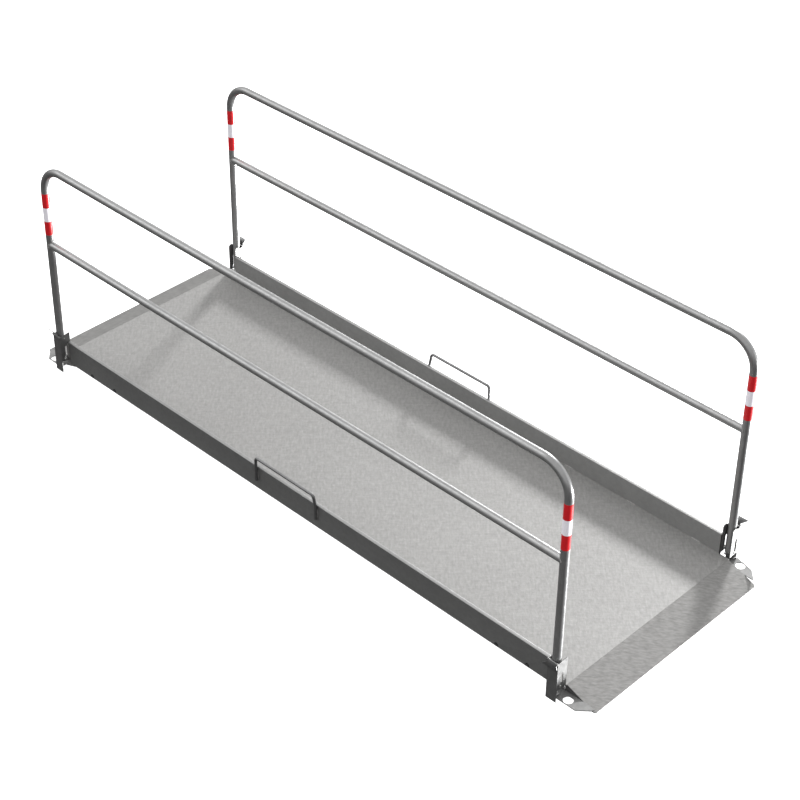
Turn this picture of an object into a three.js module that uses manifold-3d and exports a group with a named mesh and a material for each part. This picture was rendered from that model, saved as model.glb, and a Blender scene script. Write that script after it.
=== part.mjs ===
// A portable footbridge for crossing a trench: a sheet-metal walkway between two folded side beams,
// a short ramp at each end, and a folding handrail along each side.
//
// Millimetres. +X runs along the walkway, +Y across it, +Z up.
// The origin is on the ground, under the middle of the walkway.
// "near" is the -Y side, "far" the +Y side, "left" the -X end and "right" the +X end.

import * as THREE from 'three';
import { mergeVertices } from 'three/addons/utils/BufferGeometryUtils.js';
import Module from 'manifold-3d';

const wasm = await Module();
wasm.setup();

// ---- Driving dimensions ----

const FIT_GAP = 0.3;            // between pieces that are welded or rest on each other
const OVERCUT = 1;              // how far a cutting tool passes the faces that it cuts
const ROUND_CUT_SIDES = 16;     // sides of every drilled or rounded outline
const MERGE_DISTANCE = 1e-4;    // vertices closer than this are one

// Walkway
const DECK_TOP = 52;
const DECK_SHEET = 3;
const DECK_HALF_LENGTH = 1454;
const DECK_HALF_WIDTH = 484.7;

// Ramps
const RAMP_TIP_X = 1590;
const RAMP_TIP_TOP = 2.6;
const RAMP_HALF_WIDTH = 480;
const RAMP_SHEET = 3;
const RAMP_CORNER_RADIUS = 10;
const SKIRT_ROOT_X = 1446.5;
const SKIRT_PLATE = 3;
const SKIRT_BOTTOM = 1;

// Side beams, which are also the toe boards
const BEAM_OUTER_Y = 500;
const BEAM_INNER_Y = 485;
const BEAM_TOP = 147;
const BEAM_BOTTOM = 33;
const BEAM_SHEET = 2.5;
const BEAM_INNER_WEB_BOTTOM = 44;
const BEAM_HOLE_DIAMETER = 10.5;
const BEAM_HOLE_Z = 45;
const BEAM_HOLE_X_NEAR = [-1242, -1089, 1131, 1283];

// Cross ribs and end members under the deck
const RIB_SPACING = 480;
const RIB_COUNT = 5;
const RIB_WIDTH = 44;
const RIB_DEPTH = 28;
const RIB_SHEET = 2.5;
const RIB_HALF_LENGTH = DECK_HALF_WIDTH - 0.4;
const END_MEMBER_X = 1423;
const END_MEMBER_DEPTH = 25.3;

// Post brackets: a U of folded plate round the foot of each post
const POST_X = 1429;
const POST_Y = 517.3;
const BRACKET_PLATE = 3;
const BRACKET_HALF_WIDTH = 24;
const BRACKET_WEB_OUTER_Y = 538;
const BRACKET_WEB_TOP = 182;
const CHEEK_INNER_Y = { near: 485, far: 490 };
const CHEEK_TOPS = {
  near: [[485, 189], [488, 192], [533.5, 187]],
  far: [[490, 183], [497, 190], [508, 190], [518, 182], [529, 182], [533.5, 187]],
};
const CHEEK_INNER_BOTTOM = DECK_TOP + 0.4;
const CHEEK_OUTER_BOTTOM = 57;
const SHELF_INNER_Y = 515;
const SHELF_TOP = 35;

// Slots in the cheeks, and the pins that ride in them
const SLOT_WIDTH = 11;
const SLOT_TOP = 131;
const PIVOT_Z = 67;
const NEAR_SLOT_Y = 510.5;
const NEAR_SLOT_KNEE_Z = 76.5;
const FAR_SLOT_Y = 518;
const FAR_SLOT_NOTCH = [513.5, 66];
const PIN_DIAMETER = 8;
const PIN_HOLE_DIAMETER = 9;
const PIN_HEAD_DIAMETER = 14;
const PIN_HEAD_THICKNESS = 4.5;
const PIN_HEAD_CHAMFER = 1.2;
const PIN_TIP_CHAMFER = 0.5;
const PIN_TIP_INSET = 0.5;      // from the outer face of the cheek
const RING_OUTER_DIAMETER = 17;
const RING_BORE_DIAMETER = 8.6;
const RING_THICKNESS = 1.5;
const RING_TO_POST = 1;

// Latch levers on top of the brackets
const LATCH_AXIS_Y = 538.5;
const LATCH_AXIS_Z = 187;
const LATCH_PIN_DIAMETER = 3.2;
const LATCH_PIN_SIDES = 12;
const LATCH_PIN_STANDOUT = 1;
const LATCH_HOLE_DIAMETER = 4;
const LATCH_BARREL_DIAMETER = 7;
const LATCH_BARREL_HALF_LENGTH = 20;
const LATCH_LUG_RADIUS = 5;
const LATCH_PLATE = 2.2;
const LATCH_PLATE_OFFSET = 2;
const LATCH_LENGTH = 31.5;
const LATCH_NECK = 6;           // the lever is as wide as its barrel this far along
const LATCH_HEEL = [25, 20];    // its blunt side, as [across, along], up to a round corner
const LATCH_HEEL_CORNER = 27;
const LATCH_HEEL_END = 14;
const LATCH_TIP = 47;           // its other side is drawn out to a tip this far across
const LATCH_CURL = THREE.MathUtils.degToRad(44);
const LATCH_OPEN_ANGLE = THREE.MathUtils.degToRad(56);
const LATCH_CLOSED_ANGLE = THREE.MathUtils.degToRad(-86);

// Anchor plates, which are staked to the ground
const ANCHOR_TOP = 23;
const ANCHOR_PLATE = 4;
const ANCHOR_OUTER_Y = 534.4;
const ANCHOR_INNER_Y = 481;
// Plan of an anchor plate, as [x, y]. Its inboard end is the same at each corner, its nose is not.
const ANCHOR_TAIL_OUTER = [[1378, 488], [1431, 512], [1440, ANCHOR_OUTER_Y], [1453.5, ANCHOR_OUTER_Y]];
const ANCHOR_TAIL_INNER = [[1446, ANCHOR_INNER_Y], [1446, 440], [1400, 440], [1378, 465]];
const ANCHOR_NOSE_RUNOUT = 4;
const ANCHOR_NOSES = {
  near_left: [[1512, ANCHOR_OUTER_Y], [1560, 490]],
  near_right: [[1538, ANCHOR_OUTER_Y], [1584, 494]],
  far_left: [[1454, 543.5], [1512, 529], [1560, 490]],
  far_right: [[1454, 543.5], [1536, 523.5], [1569, 489]],
};
const ANCHOR_HOLE_DIAMETER = 40;
const ANCHOR_HOLE_X = 1490.4;
const ANCHOR_HOLE_Y = 512.4;

// Handrails
const TUBE_DIAMETER = 33.7;
const TUBE_WALL = 2.6;
const TUBE_SIDES = 16;
const TOP_RAIL_Z = 1035;
const MID_RAIL_Z = 648;
const BEND_RADIUS = 120;
const BEND_STEPS = 7;
const FOOT_TRIM = 0.05;         // keeps the rounded foot just inside the faces of the tube

// Reflective bands on the posts
const BAND_LEVELS = [702, 768, 834, 902];
const BAND_NAMES = ['lower', 'middle', 'upper'];
const BAND_GAP = 0.4;
const BAND_THICKNESS = 0.5;
const BAND_SIDES = 16;

// Carry handles on the outside of the beams
const HANDLE_ROD_DIAMETER = 12;
const HANDLE_ROD_SIDES = 10;
const HANDLE_CENTRE_X = 5;
const HANDLE_FOOT_HALF_LENGTH = 173;
const HANDLE_TOP_HALF_LENGTH = 167;
const HANDLE_FOOT_Y = BEAM_OUTER_Y + HANDLE_ROD_DIAMETER / 2 + 0.4;
const HANDLE_TOP_Y = 512;
const HANDLE_FOOT_Z = 80;
const HANDLE_KINK_Z = 146;
const HANDLE_TOP_Z = 200;
const HANDLE_CORNER_RADIUS = 16;
const HANDLE_BEND_STEPS = 4;

// ---- Materials ----

function metal(color, roughness, metalness = 0.85) {
  return new THREE.MeshStandardMaterial({ color, roughness, metalness });
}

const materials = {
  deck: metal(0xb8b6b2, 0.55),
  ramp: metal(0xa09e9b, 0.5),
  beam: metal(0x8a8a8a, 0.5),
  plate: metal(0x949494, 0.5),
  tube: metal(0x8f9193, 0.4),
  fastener: metal(0xb4b4b0, 0.35),
  redBand: metal(0xc81e23, 0.35, 0),
  whiteBand: metal(0xf2f2f0, 0.35, 0),
};

// ---- Shape helpers ----

// Axes (u, v, w) of a flat outline and of its extrusion, for an extrusion along x, y or z.
const PRISM_AXES = {
  x: [new THREE.Vector3(0, 1, 0), new THREE.Vector3(0, 0, 1), new THREE.Vector3(1, 0, 0)],
  y: [new THREE.Vector3(1, 0, 0), new THREE.Vector3(0, 0, 1), new THREE.Vector3(0, -1, 0)],
  z: [new THREE.Vector3(1, 0, 0), new THREE.Vector3(0, 1, 0), new THREE.Vector3(0, 0, 1)],
};

function outlineShape(points) {
  return new THREE.Shape(points.map(([u, v]) => new THREE.Vector2(u, v)));
}

// Outline points are [y, z] for an extrusion along x, [x, z] along y and [x, y] along z.
function prism(shape, axis, from, to) {
  const geometry = new THREE.ExtrudeGeometry(shape, {
    depth: to - from,
    bevelEnabled: false,
    curveSegments: ROUND_CUT_SIDES / 2,
  });
  const start = axis === 'y' ? to : from;
  const offset = new THREE.Vector3();
  offset[axis] = start;
  const placement = new THREE.Matrix4().makeBasis(...PRISM_AXES[axis]).setPosition(offset);
  return geometry.applyMatrix4(placement);
}

function rectangle(u1, v1, u2, v2) {
  return outlineShape([[u1, v1], [u2, v1], [u2, v2], [u1, v2]]);
}

function circle(u, v, diameter) {
  return new THREE.Shape().absarc(u, v, diameter / 2, 0, 2 * Math.PI);
}

// A slot outline: every point within half a width of the line from start to end.
function capsule(start, end, width) {
  const heading = Math.atan2(end[1] - start[1], end[0] - start[0]);
  const shape = new THREE.Shape();
  shape.absarc(end[0], end[1], width / 2, heading - Math.PI / 2, heading + Math.PI / 2);
  shape.absarc(start[0], start[1], width / 2, heading + Math.PI / 2, heading + 1.5 * Math.PI);
  return shape;
}

function toSolid(geometry) {
  const bare = geometry.clone();
  bare.deleteAttribute('normal');
  bare.deleteAttribute('uv');
  const merged = mergeVertices(bare, MERGE_DISTANCE);
  return new wasm.Manifold(new wasm.Mesh({
    numProp: 3,
    vertProperties: new Float32Array(merged.attributes.position.array),
    triVerts: new Uint32Array(merged.index.array),
  }));
}

function toGeometry(solid) {
  const mesh = solid.getMesh();
  const geometry = new THREE.BufferGeometry();
  geometry.setAttribute('position', new THREE.BufferAttribute(mesh.vertProperties, 3));
  geometry.setIndex(new THREE.BufferAttribute(mesh.triVerts, 1));
  geometry.computeVertexNormals();
  return geometry;
}

function join(geometries) {
  return toGeometry(geometries.map(toSolid).reduce((whole, piece) => whole.add(piece)));
}

function cut(geometry, tools) {
  return toGeometry(tools.map(toSolid).reduce((whole, tool) => whole.subtract(tool), toSolid(geometry)));
}

function common(first, second) {
  return toGeometry(toSolid(first).intersect(toSolid(second)));
}

function mesh(name, geometry, material) {
  const piece = new THREE.Mesh(geometry, material);
  piece.name = name;
  return piece;
}

// A curve given by stations, each with its own tangent, so that straight runs need no extra steps.
class StationCurve extends THREE.Curve {
  constructor(stations) {
    super();
    this.stations = stations;
  }

  getPointAt(u, target = new THREE.Vector3()) {
    const place = u * (this.stations.length - 1);
    const index = Math.min(Math.floor(place), this.stations.length - 2);
    return target.lerpVectors(this.stations[index].point, this.stations[index + 1].point, place - index);
  }

  getTangentAt(u, target = new THREE.Vector3()) {
    const index = Math.round(u * (this.stations.length - 1));
    return target.copy(this.stations[index].tangent);
  }
}

// Stations along a bent rod: straight between the corners, with a round bend at each corner.
function bentStations(corners, radius, bendSteps) {
  const stations = [];
  const add = (point, tangent) => stations.push({ point, tangent });
  const firstRun = corners[1].clone().sub(corners[0]).normalize();
  add(corners[0], firstRun);
  for (let i = 1; i < corners.length - 1; i += 1) {
    const before = corners[i].clone().sub(corners[i - 1]).normalize();
    const after = corners[i + 1].clone().sub(corners[i]).normalize();
    const turn = before.angleTo(after);
    const setback = radius * Math.tan(turn / 2);
    const start = corners[i].clone().addScaledVector(before, -setback);
    const axis = before.clone().cross(after).normalize();
    const toCentre = axis.clone().cross(before).multiplyScalar(radius);
    const centre = start.clone().add(toCentre);
    for (let step = 0; step <= bendSteps; step += 1) {
      const angle = (turn * step) / bendSteps;
      const arm = toCentre.clone().negate().applyAxisAngle(axis, angle);
      add(centre.clone().add(arm), before.clone().applyAxisAngle(axis, angle));
    }
  }
  const lastRun = corners.at(-1).clone().sub(corners.at(-2)).normalize();
  add(corners.at(-1), lastRun);
  return stations;
}

function sweep(shape, stations, sides) {
  return new THREE.ExtrudeGeometry(shape, {
    extrudePath: new StationCurve(stations),
    steps: stations.length - 1,
    curveSegments: sides / 2,
    bevelEnabled: false,
  });
}

function ringShape(outerDiameter, innerDiameter) {
  const shape = circle(0, 0, outerDiameter);
  shape.holes.push(new THREE.Path().absarc(0, 0, innerDiameter / 2, 0, 2 * Math.PI));
  return shape;
}

// ---- Walkway ----

function deckPlate() {
  const plan = rectangle(-DECK_HALF_LENGTH, -DECK_HALF_WIDTH, DECK_HALF_LENGTH, DECK_HALF_WIDTH);
  return mesh('deck_plate', prism(plan, 'z', DECK_TOP - DECK_SHEET, DECK_TOP), materials.deck);
}

const RAMP_ROOT_X = DECK_HALF_LENGTH + FIT_GAP;
const RAMP_SLOPE = (DECK_TOP - RAMP_TIP_TOP) / (RAMP_TIP_X - RAMP_ROOT_X);
const RAMP_DROP = RAMP_SHEET * Math.hypot(1, RAMP_SLOPE);    // from the top of the sheet to its underside

function rampPlate(end) {
  const rootX = RAMP_ROOT_X;
  const undersideX = rootX + (DECK_TOP - RAMP_DROP) / RAMP_SLOPE;
  const side = outlineShape([
    [end.x * rootX, DECK_TOP],
    [end.x * RAMP_TIP_X, RAMP_TIP_TOP],
    [end.x * RAMP_TIP_X, 0],
    [end.x * undersideX, 0],
    [end.x * rootX, DECK_TOP - RAMP_DROP],
  ]);
  const sheet = prism(side, 'y', -RAMP_HALF_WIDTH, RAMP_HALF_WIDTH);
  const r = RAMP_CORNER_RADIUS;
  const plan = new THREE.Shape();
  plan.moveTo(0, -RAMP_HALF_WIDTH);
  plan.lineTo(RAMP_TIP_X - r, -RAMP_HALF_WIDTH);
  plan.absarc(RAMP_TIP_X - r, -RAMP_HALF_WIDTH + r, r, -Math.PI / 2, 0);
  plan.absarc(RAMP_TIP_X - r, RAMP_HALF_WIDTH - r, r, 0, Math.PI / 2);
  plan.lineTo(0, RAMP_HALF_WIDTH);
  const trim = prism(plan, 'z', -OVERCUT, DECK_TOP + OVERCUT);
  if (end.x < 0) trim.rotateZ(Math.PI);
  return mesh(`ramp_plate_${end.name}`, common(sheet, trim), materials.ramp);
}

// An upright plate that closes the side of a ramp. It reaches under the end of the deck.
function rampSkirt(side, end) {
  const underDeck = DECK_TOP - DECK_SHEET - FIT_GAP;
  const underRamp = DECK_TOP - RAMP_DROP - FIT_GAP;
  const noseX = RAMP_ROOT_X + (underRamp - SKIRT_BOTTOM) / RAMP_SLOPE;
  const outline = outlineShape([
    [end.x * SKIRT_ROOT_X, SKIRT_BOTTOM],
    [end.x * noseX, SKIRT_BOTTOM],
    [end.x * RAMP_ROOT_X, underRamp],
    [end.x * SKIRT_ROOT_X, Math.min(underDeck, underRamp)],
  ]);
  const faces = [RAMP_HALF_WIDTH - SKIRT_PLATE, RAMP_HALF_WIDTH].map((y) => side.y * y);
  const plate = prism(outline, 'y', Math.min(...faces), Math.max(...faces));
  return mesh(`ramp_skirt_${side.name}_${end.name}`, plate, materials.ramp);
}

// A folded channel: outer web, top flange and inner web, with a lip turned in under the outer web.
function sideBeam(side) {
  const outer = BEAM_OUTER_Y;
  const inner = BEAM_INNER_Y;
  const t = BEAM_SHEET;
  const profile = outlineShape([
    [inner, BEAM_INNER_WEB_BOTTOM],
    [inner, BEAM_TOP],
    [outer, BEAM_TOP],
    [outer, BEAM_BOTTOM],
    [inner + t, BEAM_BOTTOM],
    [inner + t, BEAM_BOTTOM + t],
    [outer - t, BEAM_BOTTOM + t],
    [outer - t, BEAM_TOP - t],
    [inner + t, BEAM_TOP - t],
    [inner + t, BEAM_INNER_WEB_BOTTOM],
  ].map(([y, z]) => [side.y * y, z]));
  const halfLength = POST_X - BRACKET_HALF_WIDTH - FIT_GAP;
  const channel = prism(profile, 'x', -halfLength, halfLength);
  const webInside = side.y * (outer - t - OVERCUT);
  const webOutside = side.y * (outer + OVERCUT);
  const drills = BEAM_HOLE_X_NEAR.map((x) => {
    const hole = circle(-side.y * x, BEAM_HOLE_Z, BEAM_HOLE_DIAMETER);
    return prism(hole, 'y', Math.min(webInside, webOutside), Math.max(webInside, webOutside));
  });
  return mesh(`side_beam_${side.name}`, cut(channel, drills), materials.beam);
}

// A channel across the walkway, open at the bottom, right under the deck sheet.
function crossChannel(name, centreX, depth) {
  const top = DECK_TOP - DECK_SHEET - FIT_GAP;
  const half = RIB_WIDTH / 2;
  const t = RIB_SHEET;
  const profile = outlineShape([
    [centreX - half, top - depth],
    [centreX - half, top],
    [centreX + half, top],
    [centreX + half, top - depth],
    [centreX + half - t, top - depth],
    [centreX + half - t, top - t],
    [centreX - half + t, top - t],
    [centreX - half + t, top - depth],
  ]);
  return mesh(name, prism(profile, 'y', -RIB_HALF_LENGTH, RIB_HALF_LENGTH), materials.plate);
}

// ---- Corner hardware. side.y and end.x are the signs of the corner. ----

function slotOutlines(side) {
  const flip = ([y, z]) => [side.y * y, z];
  const roundTop = SLOT_TOP - SLOT_WIDTH / 2;
  if (side.name === 'near') {
    const knee = [NEAR_SLOT_Y, NEAR_SLOT_KNEE_Z];
    return [
      capsule(flip(knee), flip([NEAR_SLOT_Y, roundTop]), SLOT_WIDTH),
      capsule(flip([POST_Y, PIVOT_Z]), flip(knee), SLOT_WIDTH),
    ];
  }
  return [
    capsule(flip([FAR_SLOT_Y, PIVOT_Z]), flip([FAR_SLOT_Y, roundTop]), SLOT_WIDTH),
    capsule(flip(FAR_SLOT_NOTCH), flip([FAR_SLOT_Y, PIVOT_Z + SLOT_WIDTH]), SLOT_WIDTH),
  ];
}

function postBracket(side, end) {
  const y = (value) => side.y * value;
  const cheekInner = CHEEK_INNER_Y[side.name];
  const webInner = BRACKET_WEB_OUTER_Y - BRACKET_PLATE;
  const low = end.x * POST_X - BRACKET_HALF_WIDTH;
  const high = end.x * POST_X + BRACKET_HALF_WIDTH;
  const webFrom = Math.min(y(webInner), y(BRACKET_WEB_OUTER_Y));
  const web = prism(rectangle(low, 0, high, BRACKET_WEB_TOP), 'y', webFrom, webFrom + BRACKET_PLATE);
  const cheekOutline = outlineShape([
    [y(cheekInner), CHEEK_INNER_BOTTOM],
    ...CHEEK_TOPS[side.name].map(([edgeY, z]) => [y(edgeY), z]),
    [y(BRACKET_WEB_OUTER_Y), BRACKET_WEB_TOP],
    [y(BRACKET_WEB_OUTER_Y), CHEEK_OUTER_BOTTOM],
  ]);
  const lug = circle(y(LATCH_AXIS_Y), LATCH_AXIS_Z, 2 * LATCH_LUG_RADIUS);
  const cheeks = [low, high - BRACKET_PLATE].flatMap((x) => [
    prism(cheekOutline, 'x', x, x + BRACKET_PLATE),
    prism(lug, 'x', x, x + BRACKET_PLATE),
  ]);
  const shelfPlan = rectangle(low, y(SHELF_INNER_Y), high, y(webInner + BRACKET_PLATE / 3));
  const shelf = prism(shelfPlan, 'z', SHELF_TOP - BRACKET_PLATE, SHELF_TOP);
  const latchHole = circle(y(LATCH_AXIS_Y), LATCH_AXIS_Z, LATCH_HOLE_DIAMETER);
  const openings = [...slotOutlines(side), latchHole].map((outline) => (
    prism(outline, 'x', low - OVERCUT, high + OVERCUT)
  ));
  const bracket = cut(join([web, shelf, ...cheeks]), openings);
  return mesh(`post_bracket_${side.name}_${end.name}`, bracket, materials.plate);
}

function anchorPlate(side, end) {
  const nose = ANCHOR_NOSES[`${side.name}_${end.name}`];
  const outline = outlineShape([
    ...ANCHOR_TAIL_OUTER,
    ...nose,
    [nose.at(-1)[0] + ANCHOR_NOSE_RUNOUT, ANCHOR_INNER_Y],
    ...ANCHOR_TAIL_INNER,
  ].map(([x, y]) => [end.x * x, side.y * y]));
  const blank = prism(outline, 'z', ANCHOR_TOP - ANCHOR_PLATE, ANCHOR_TOP);
  const hole = circle(end.x * ANCHOR_HOLE_X, side.y * ANCHOR_HOLE_Y, ANCHOR_HOLE_DIAMETER);
  const drill = prism(hole, 'z', ANCHOR_TOP - ANCHOR_PLATE - OVERCUT, ANCHOR_TOP + OVERCUT);
  return mesh(`anchor_plate_${side.name}_${end.name}`, cut(blank, [drill]), materials.plate);
}

// The pin has its head against the cheek that faces the middle of the bridge, and ends flush in the other.
function pivotPin(side, end) {
  const tip = BRACKET_HALF_WIDTH - PIN_TIP_INSET;
  const headUnderside = -BRACKET_HALF_WIDTH - FIT_GAP;
  const headFace = headUnderside - PIN_HEAD_THICKNESS;
  const headRadius = PIN_HEAD_DIAMETER / 2;
  const shankRadius = PIN_DIAMETER / 2;
  const profile = [
    [0, headFace],
    [headRadius - PIN_HEAD_CHAMFER, headFace],
    [headRadius, headFace + PIN_HEAD_CHAMFER],
    [headRadius, headUnderside],
    [shankRadius, headUnderside],
    [shankRadius, tip - PIN_TIP_CHAMFER],
    [shankRadius - PIN_TIP_CHAMFER, tip],
    [0, tip],
  ].map(([r, h]) => new THREE.Vector2(r, h));
  const turned = new THREE.LatheGeometry(profile, ROUND_CUT_SIDES);
  const pin = mesh(`pivot_pin_${side.name}_${end.name}`, turned, materials.fastener);
  pin.rotation.z = end.x > 0 ? -Math.PI / 2 : Math.PI / 2;
  pin.position.set(end.x * POST_X, side.y * POST_Y, PIVOT_Z);
  return pin;
}

// A push-on ring between the post and the outer cheek, which keeps the pin in.
function pivotRing(side, end) {
  const postFace = end.x * (POST_X + TUBE_DIAMETER / 2 + RING_TO_POST);
  const from = Math.min(postFace, postFace + end.x * RING_THICKNESS);
  const ring = prism(ringShape(RING_OUTER_DIAMETER, RING_BORE_DIAMETER), 'x', from, from + RING_THICKNESS);
  const piece = mesh(`pivot_ring_${side.name}_${end.name}`, ring, materials.fastener);
  piece.position.set(0, side.y * POST_Y, PIVOT_Z);
  return piece;
}

function latchIsClosed(side, end) {
  return side.name === 'near' && end.name === 'right';
}

// The way that a lever's tip points: to its own end of the bridge, or inboard where it is closed.
function tipDirection(side, end) {
  return latchIsClosed(side, end) ? -end.x : end.x;
}

// A curved lever on a hinge barrel, drawn out to a tip on one side.
// It is built with +Y along the lever and +Z on its upper face, then turned about X to its own side.
function latchLever(side, end) {
  const half = LATCH_BARREL_HALF_LENGTH;
  const radius = LATCH_LENGTH / (2 * Math.sin(LATCH_CURL / 2));
  const centre = [LATCH_LENGTH / 2, LATCH_PLATE_OFFSET - radius * Math.cos(LATCH_CURL / 2)];
  const from = Math.PI / 2 - LATCH_CURL / 2;
  const to = Math.PI / 2 + LATCH_CURL / 2;
  const strip = new THREE.Shape();
  strip.absarc(...centre, radius + LATCH_PLATE / 2, from, to, false);
  strip.absarc(...centre, radius - LATCH_PLATE / 2, to, from, true);
  const outward = tipDirection(side, end) * side.y;
  const beyond = LATCH_LENGTH + OVERCUT;
  const flare = new THREE.Shape();
  flare.moveTo(outward * -half, -OVERCUT);
  flare.lineTo(outward * -half, LATCH_NECK);
  flare.lineTo(outward * -LATCH_HEEL[0], LATCH_HEEL[1]);
  flare.quadraticCurveTo(outward * -LATCH_HEEL_CORNER, beyond, outward * -LATCH_HEEL_END, beyond);
  flare.lineTo(outward * LATCH_TIP, beyond);
  flare.lineTo(outward * half, LATCH_NECK);
  flare.lineTo(outward * half, -OVERCUT);
  const curved = prism(strip, 'x', -LATCH_TIP - OVERCUT, LATCH_TIP + OVERCUT);
  const plate = common(curved, prism(flare, 'z', -LATCH_LENGTH, LATCH_LENGTH));
  const barrel = prism(circle(0, 0, LATCH_BARREL_DIAMETER), 'x', -half, half);
  const bore = prism(circle(0, 0, LATCH_HOLE_DIAMETER), 'x', -half - OVERCUT, half + OVERCUT);
  const bored = cut(join([plate, barrel]), [bore]);
  const lever = mesh(`latch_lever_${side.name}_${end.name}`, bored, materials.plate);
  const swing = latchIsClosed(side, end) ? LATCH_CLOSED_ANGLE : LATCH_OPEN_ANGLE;
  if (side.y > 0) lever.rotation.x = swing;
  else lever.rotation.set(swing, 0, Math.PI, 'ZYX');
  lever.position.set(end.x * POST_X, side.y * LATCH_AXIS_Y, LATCH_AXIS_Z);
  return lever;
}

function latchPin(side, end) {
  const length = 2 * (BRACKET_HALF_WIDTH + LATCH_PIN_STANDOUT);
  const radius = LATCH_PIN_DIAMETER / 2;
  const rod = new THREE.CylinderGeometry(radius, radius, length, LATCH_PIN_SIDES);
  const pin = mesh(`latch_pin_${side.name}_${end.name}`, rod, materials.fastener);
  pin.rotation.z = Math.PI / 2;
  pin.position.set(end.x * POST_X, side.y * LATCH_AXIS_Y, LATCH_AXIS_Z);
  return pin;
}

// ---- Handrails ----

// One tube bent twice: two posts and the top rail. Each foot is rounded about its pivot pin.
function railHoop(side) {
  const y = side.y * POST_Y;
  const footZ = PIVOT_Z - TUBE_DIAMETER / 2;
  const corners = [
    new THREE.Vector3(-POST_X, y, footZ),
    new THREE.Vector3(-POST_X, y, TOP_RAIL_Z),
    new THREE.Vector3(POST_X, y, TOP_RAIL_Z),
    new THREE.Vector3(POST_X, y, footZ),
  ];
  const section = ringShape(TUBE_DIAMETER, TUBE_DIAMETER - 2 * TUBE_WALL);
  const tube = sweep(section, bentStations(corners, BEND_RADIUS, BEND_STEPS), TUBE_SIDES);
  const half = TUBE_DIAMETER / 2;
  const reach = POST_X + TUBE_DIAMETER;
  const keep = new THREE.Shape();
  keep.absarc(y, PIVOT_Z, half - FOOT_TRIM, Math.PI, 2 * Math.PI);
  keep.lineTo(y + half + OVERCUT, PIVOT_Z);
  keep.lineTo(y + half + OVERCUT, TOP_RAIL_Z + TUBE_DIAMETER);
  keep.lineTo(y - half - OVERCUT, TOP_RAIL_Z + TUBE_DIAMETER);
  keep.lineTo(y - half - OVERCUT, PIVOT_Z);
  const rounded = common(tube, prism(keep, 'x', -reach, reach));
  const pinHole = circle(y, PIVOT_Z, PIN_HOLE_DIAMETER);
  const drills = [
    prism(pinHole, 'x', -reach, -POST_X + TUBE_DIAMETER),
    prism(pinHole, 'x', POST_X - TUBE_DIAMETER, reach),
  ];
  return mesh(`rail_hoop_${side.name}`, cut(rounded, drills), materials.tube);
}

// The mid rail's ends are hollowed out to the round of the posts.
function midRail(side) {
  const y = side.y * POST_Y;
  const section = ringShape(TUBE_DIAMETER, TUBE_DIAMETER - 2 * TUBE_WALL);
  const rail = new THREE.ExtrudeGeometry(section, {
    depth: 2 * POST_X,
    bevelEnabled: false,
    curveSegments: TUBE_SIDES / 2,
  });
  rail.rotateY(Math.PI / 2).translate(-POST_X, y, MID_RAIL_Z);
  const copeDiameter = (TUBE_DIAMETER + 2 * FIT_GAP) / Math.cos(Math.PI / ROUND_CUT_SIDES);
  const copes = [-POST_X, POST_X].map((x) => (
    prism(circle(x, y, copeDiameter), 'z', MID_RAIL_Z - TUBE_DIAMETER, MID_RAIL_Z + TUBE_DIAMETER)
  ));
  return mesh(`mid_rail_${side.name}`, cut(rail, copes), materials.tube);
}

function reflectiveBand(side, end, level) {
  const inner = TUBE_DIAMETER / 2 + BAND_GAP;
  const outer = inner + BAND_THICKNESS;
  const bottom = BAND_LEVELS[level] + BAND_GAP / 2;
  const top = BAND_LEVELS[level + 1] - BAND_GAP / 2;
  const profile = [[inner, bottom], [outer, bottom], [outer, top], [inner, top], [inner, bottom]];
  const sleeve = new THREE.LatheGeometry(profile.map(([r, z]) => new THREE.Vector2(r, z)), BAND_SIDES);
  sleeve.rotateX(Math.PI / 2);
  const material = level === 1 ? materials.whiteBand : materials.redBand;
  const band = mesh(`band_${side.name}_${end.name}_${BAND_NAMES[level]}`, sleeve, material);
  band.position.set(end.x * POST_X, side.y * POST_Y, 0);
  return band;
}

// ---- Carry handles ----

function carryHandle(side) {
  const spot = (x, y, z) => new THREE.Vector3(x, side.y * y, z);
  const corners = [
    spot(-HANDLE_FOOT_HALF_LENGTH, HANDLE_FOOT_Y, HANDLE_FOOT_Z),
    spot(-HANDLE_FOOT_HALF_LENGTH, HANDLE_FOOT_Y, HANDLE_KINK_Z),
    spot(-HANDLE_TOP_HALF_LENGTH, HANDLE_TOP_Y, HANDLE_TOP_Z),
    spot(HANDLE_TOP_HALF_LENGTH, HANDLE_TOP_Y, HANDLE_TOP_Z),
    spot(HANDLE_FOOT_HALF_LENGTH, HANDLE_FOOT_Y, HANDLE_KINK_Z),
    spot(HANDLE_FOOT_HALF_LENGTH, HANDLE_FOOT_Y, HANDLE_FOOT_Z),
  ];
  const stations = bentStations(corners, HANDLE_CORNER_RADIUS, HANDLE_BEND_STEPS);
  const handle = mesh(
    `carry_handle_${side.name}`,
    sweep(circle(0, 0, HANDLE_ROD_DIAMETER), stations, HANDLE_ROD_SIDES),
    materials.tube,
  );
  handle.position.x = HANDLE_CENTRE_X;
  return handle;
}

// ---- Assembly ----

const SIDES = [{ name: 'near', y: -1 }, { name: 'far', y: 1 }];
const ENDS = [{ name: 'left', x: -1 }, { name: 'right', x: 1 }];

function walkway() {
  const group = new THREE.Group();
  group.add(deckPlate());
  ENDS.forEach((end) => group.add(rampPlate(end)));
  SIDES.forEach((side) => group.add(sideBeam(side), carryHandle(side)));
  for (let i = 0; i < RIB_COUNT; i += 1) {
    const x = (i - (RIB_COUNT - 1) / 2) * RIB_SPACING;
    group.add(crossChannel(`cross_rib_${i + 1}`, x, RIB_DEPTH));
  }
  ENDS.forEach((end) => {
    group.add(crossChannel(`end_member_${end.name}`, end.x * END_MEMBER_X, END_MEMBER_DEPTH));
  });
  return group;
}

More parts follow.
